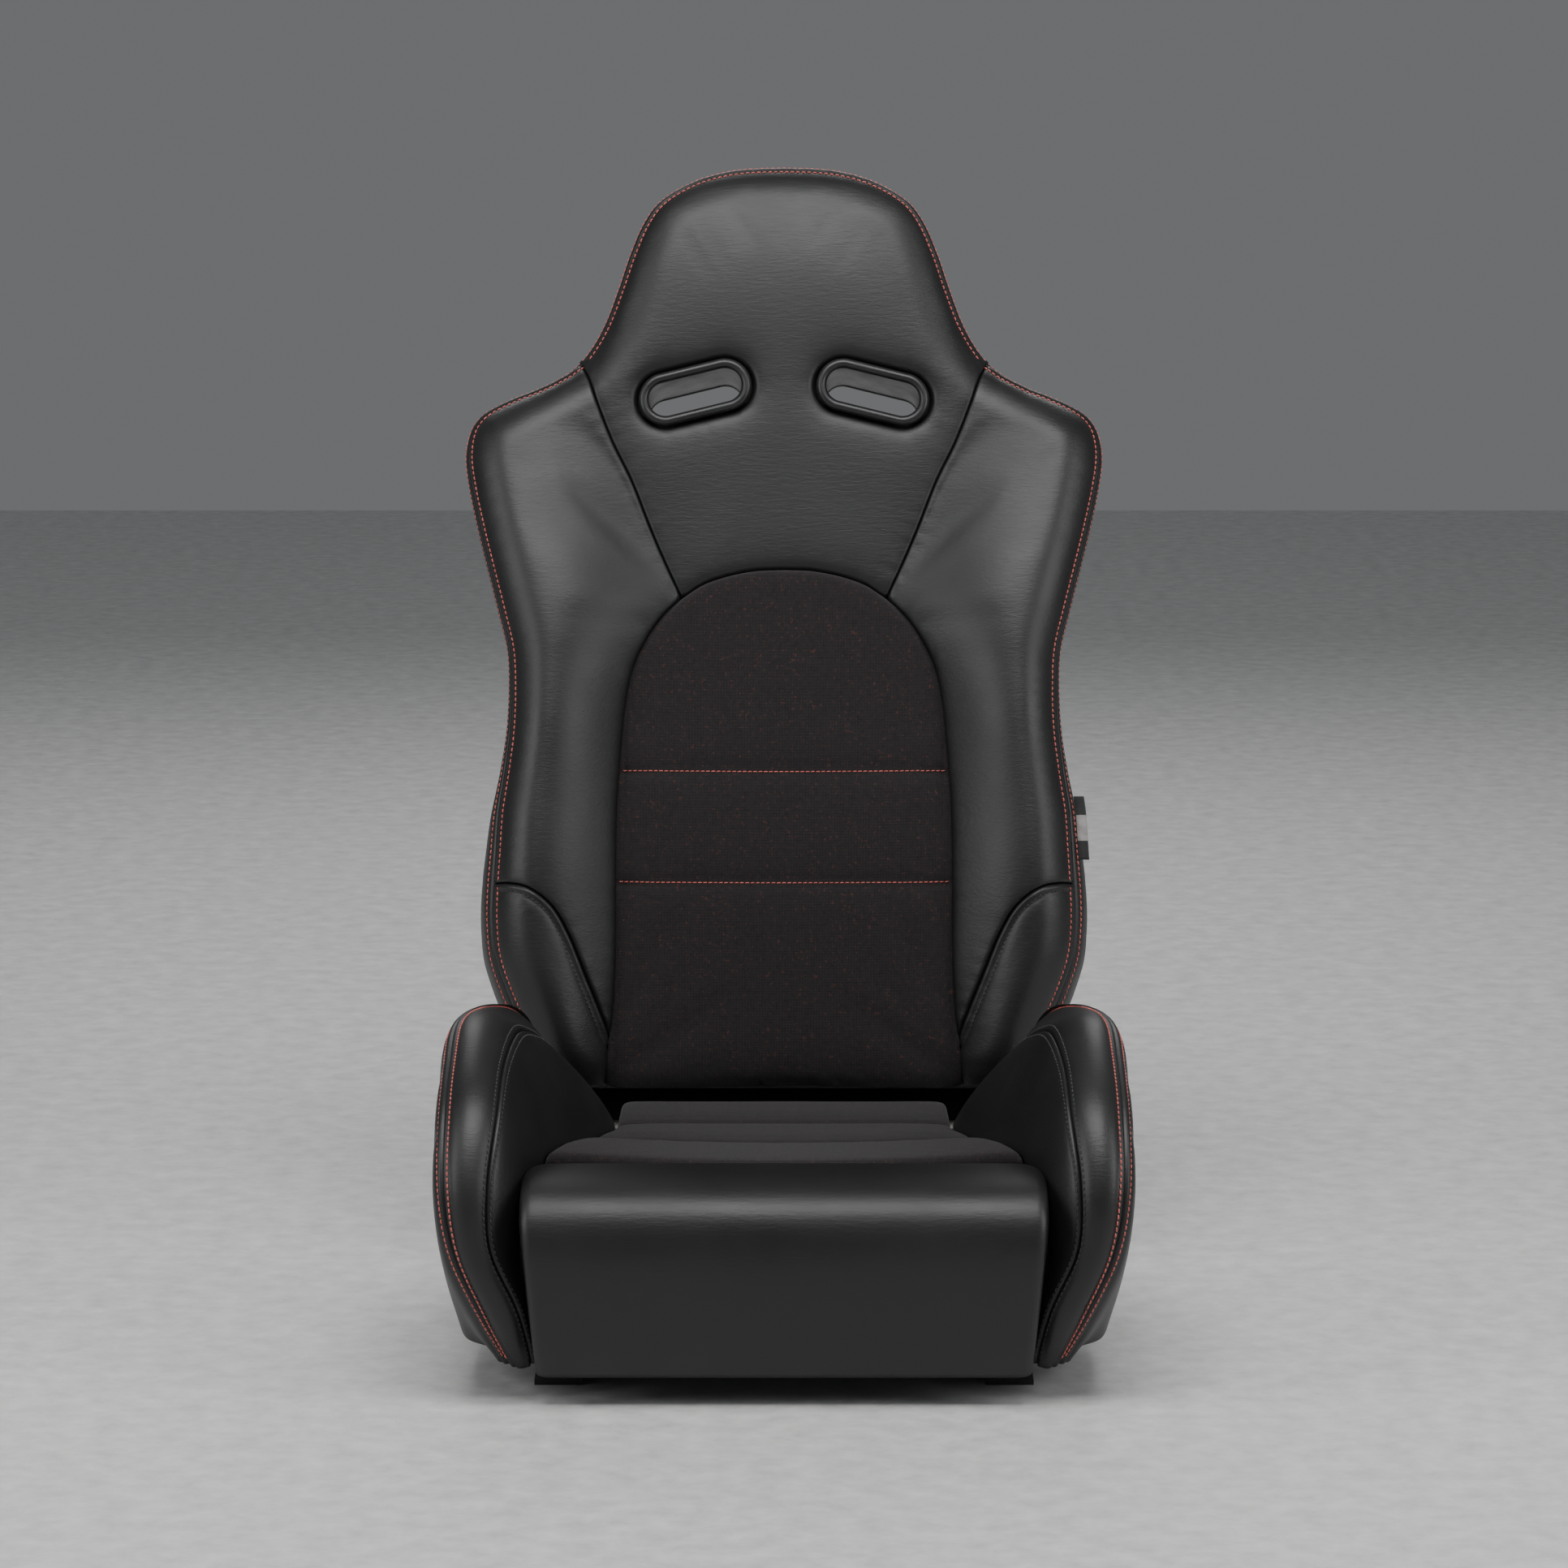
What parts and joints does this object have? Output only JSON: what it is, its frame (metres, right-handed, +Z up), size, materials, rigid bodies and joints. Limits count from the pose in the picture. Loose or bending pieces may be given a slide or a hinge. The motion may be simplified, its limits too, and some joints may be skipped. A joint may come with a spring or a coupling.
{
  "type": "racing seat",
  "caption": "Reclining bucket seat with deep side bolsters, integral head rest, shoulder-harness slots, woven centre panels and red twin-stitched seams.",
  "frame": {"origin": "middle of the bounding box's underside, where the mounting rails stand on the floor", "axes": "+X to the seated driver's left (right in a front view), +Y to the rear, +Z up; the seat faces -Y"},
  "size_m": [0.5456, 0.7392, 0.9218],
  "materials": {
    "frame_steel": "satin",
    "plated_steel": "satin",
    "black_plastic": "satin",
    "leatherette": "satin",
    "tweed_fabric": "matte",
    "seat_foam": "matte",
    "woven_tab": "matte"
  },
  "bodies": {
    "base": {"mount_rail_L": "frame_steel", "mount_rail_R": "frame_steel", "frame_side_L": "frame_steel", "frame_side_R": "frame_steel", "recliner_plate_L": "frame_steel", "recliner_plate_R": "frame_steel", "frame_cross_front": "frame_steel", "frame_cross_rear": "frame_steel", "recliner_fixed_disc_L": "plated_steel", "recliner_fixed_disc_R": "plated_steel", "return_spring_L": "plated_steel", "return_spring_R": "plated_steel", "frame_bolt_L": "plated_steel", "frame_bolt_R": "plated_steel", "seat_spring_1": "plated_steel", "seat_spring_2": "plated_steel", "seat_spring_3": "plated_steel", "seat_spring_4": "plated_steel", "recliner_cover_L": "black_plastic", "recliner_cover_R": "black_plastic", "bolster_band_L": "leatherette", "bolster_band_R": "leatherette", "bolster_inner_L": "leatherette", "bolster_inner_R": "leatherette", "bolster_side_L": "leatherette", "bolster_side_R": "leatherette", "cushion_nose": "leatherette", "cushion_insert": "tweed_fabric", "bolster_foam_L": "seat_foam", "bolster_foam_R": "seat_foam", "seat_foam": "seat_foam"},
    "backrest": {"back_tube_L": "frame_steel", "back_tube_R": "frame_steel", "recliner_arm_L": "plated_steel", "recliner_arm_R": "plated_steel", "recliner_moving_disc_L": "plated_steel", "recliner_moving_disc_R": "plated_steel", "shoulder_wing_L": "leatherette", "shoulder_wing_R": "leatherette", "hip_panel_L": "leatherette", "hip_panel_R": "leatherette", "side_panel_L": "leatherette", "side_panel_R": "leatherette", "harness_ring_front_L": "black_plastic", "harness_ring_front_R": "black_plastic", "harness_ring_rear_L": "black_plastic", "harness_ring_rear_R": "black_plastic", "harness_sleeve_L": "black_plastic", "harness_sleeve_R": "black_plastic", "back_cross_upper": "frame_steel", "back_cross_lower": "frame_steel", "lumbar_wire": "plated_steel", "back_foam": "seat_foam", "back_insert": "tweed_fabric", "head_panel": "leatherette", "rear_panel": "leatherette", "side_tab": "woven_tab"},
    "lever": {"cross_shaft": "plated_steel", "release_lever": "frame_steel", "lever_grip": "black_plastic"}
  },
  "joints": [
    {"name": "recline", "type": "hinge", "parent": "base", "child": "backrest", "pos_m": [0, 0.10743, 0.12], "axis": [-1, 0, 0], "range_deg": [-12, 60]},
    {"name": "release", "type": "hinge", "parent": "base", "child": "lever", "pos_m": [0, 0.10743, 0.12], "axis": [-1, 0, 0], "range_deg": [0, 25], "stiffness_Nm_per_rad": 1.5, "springref_deg": -34.38}
  ]
}
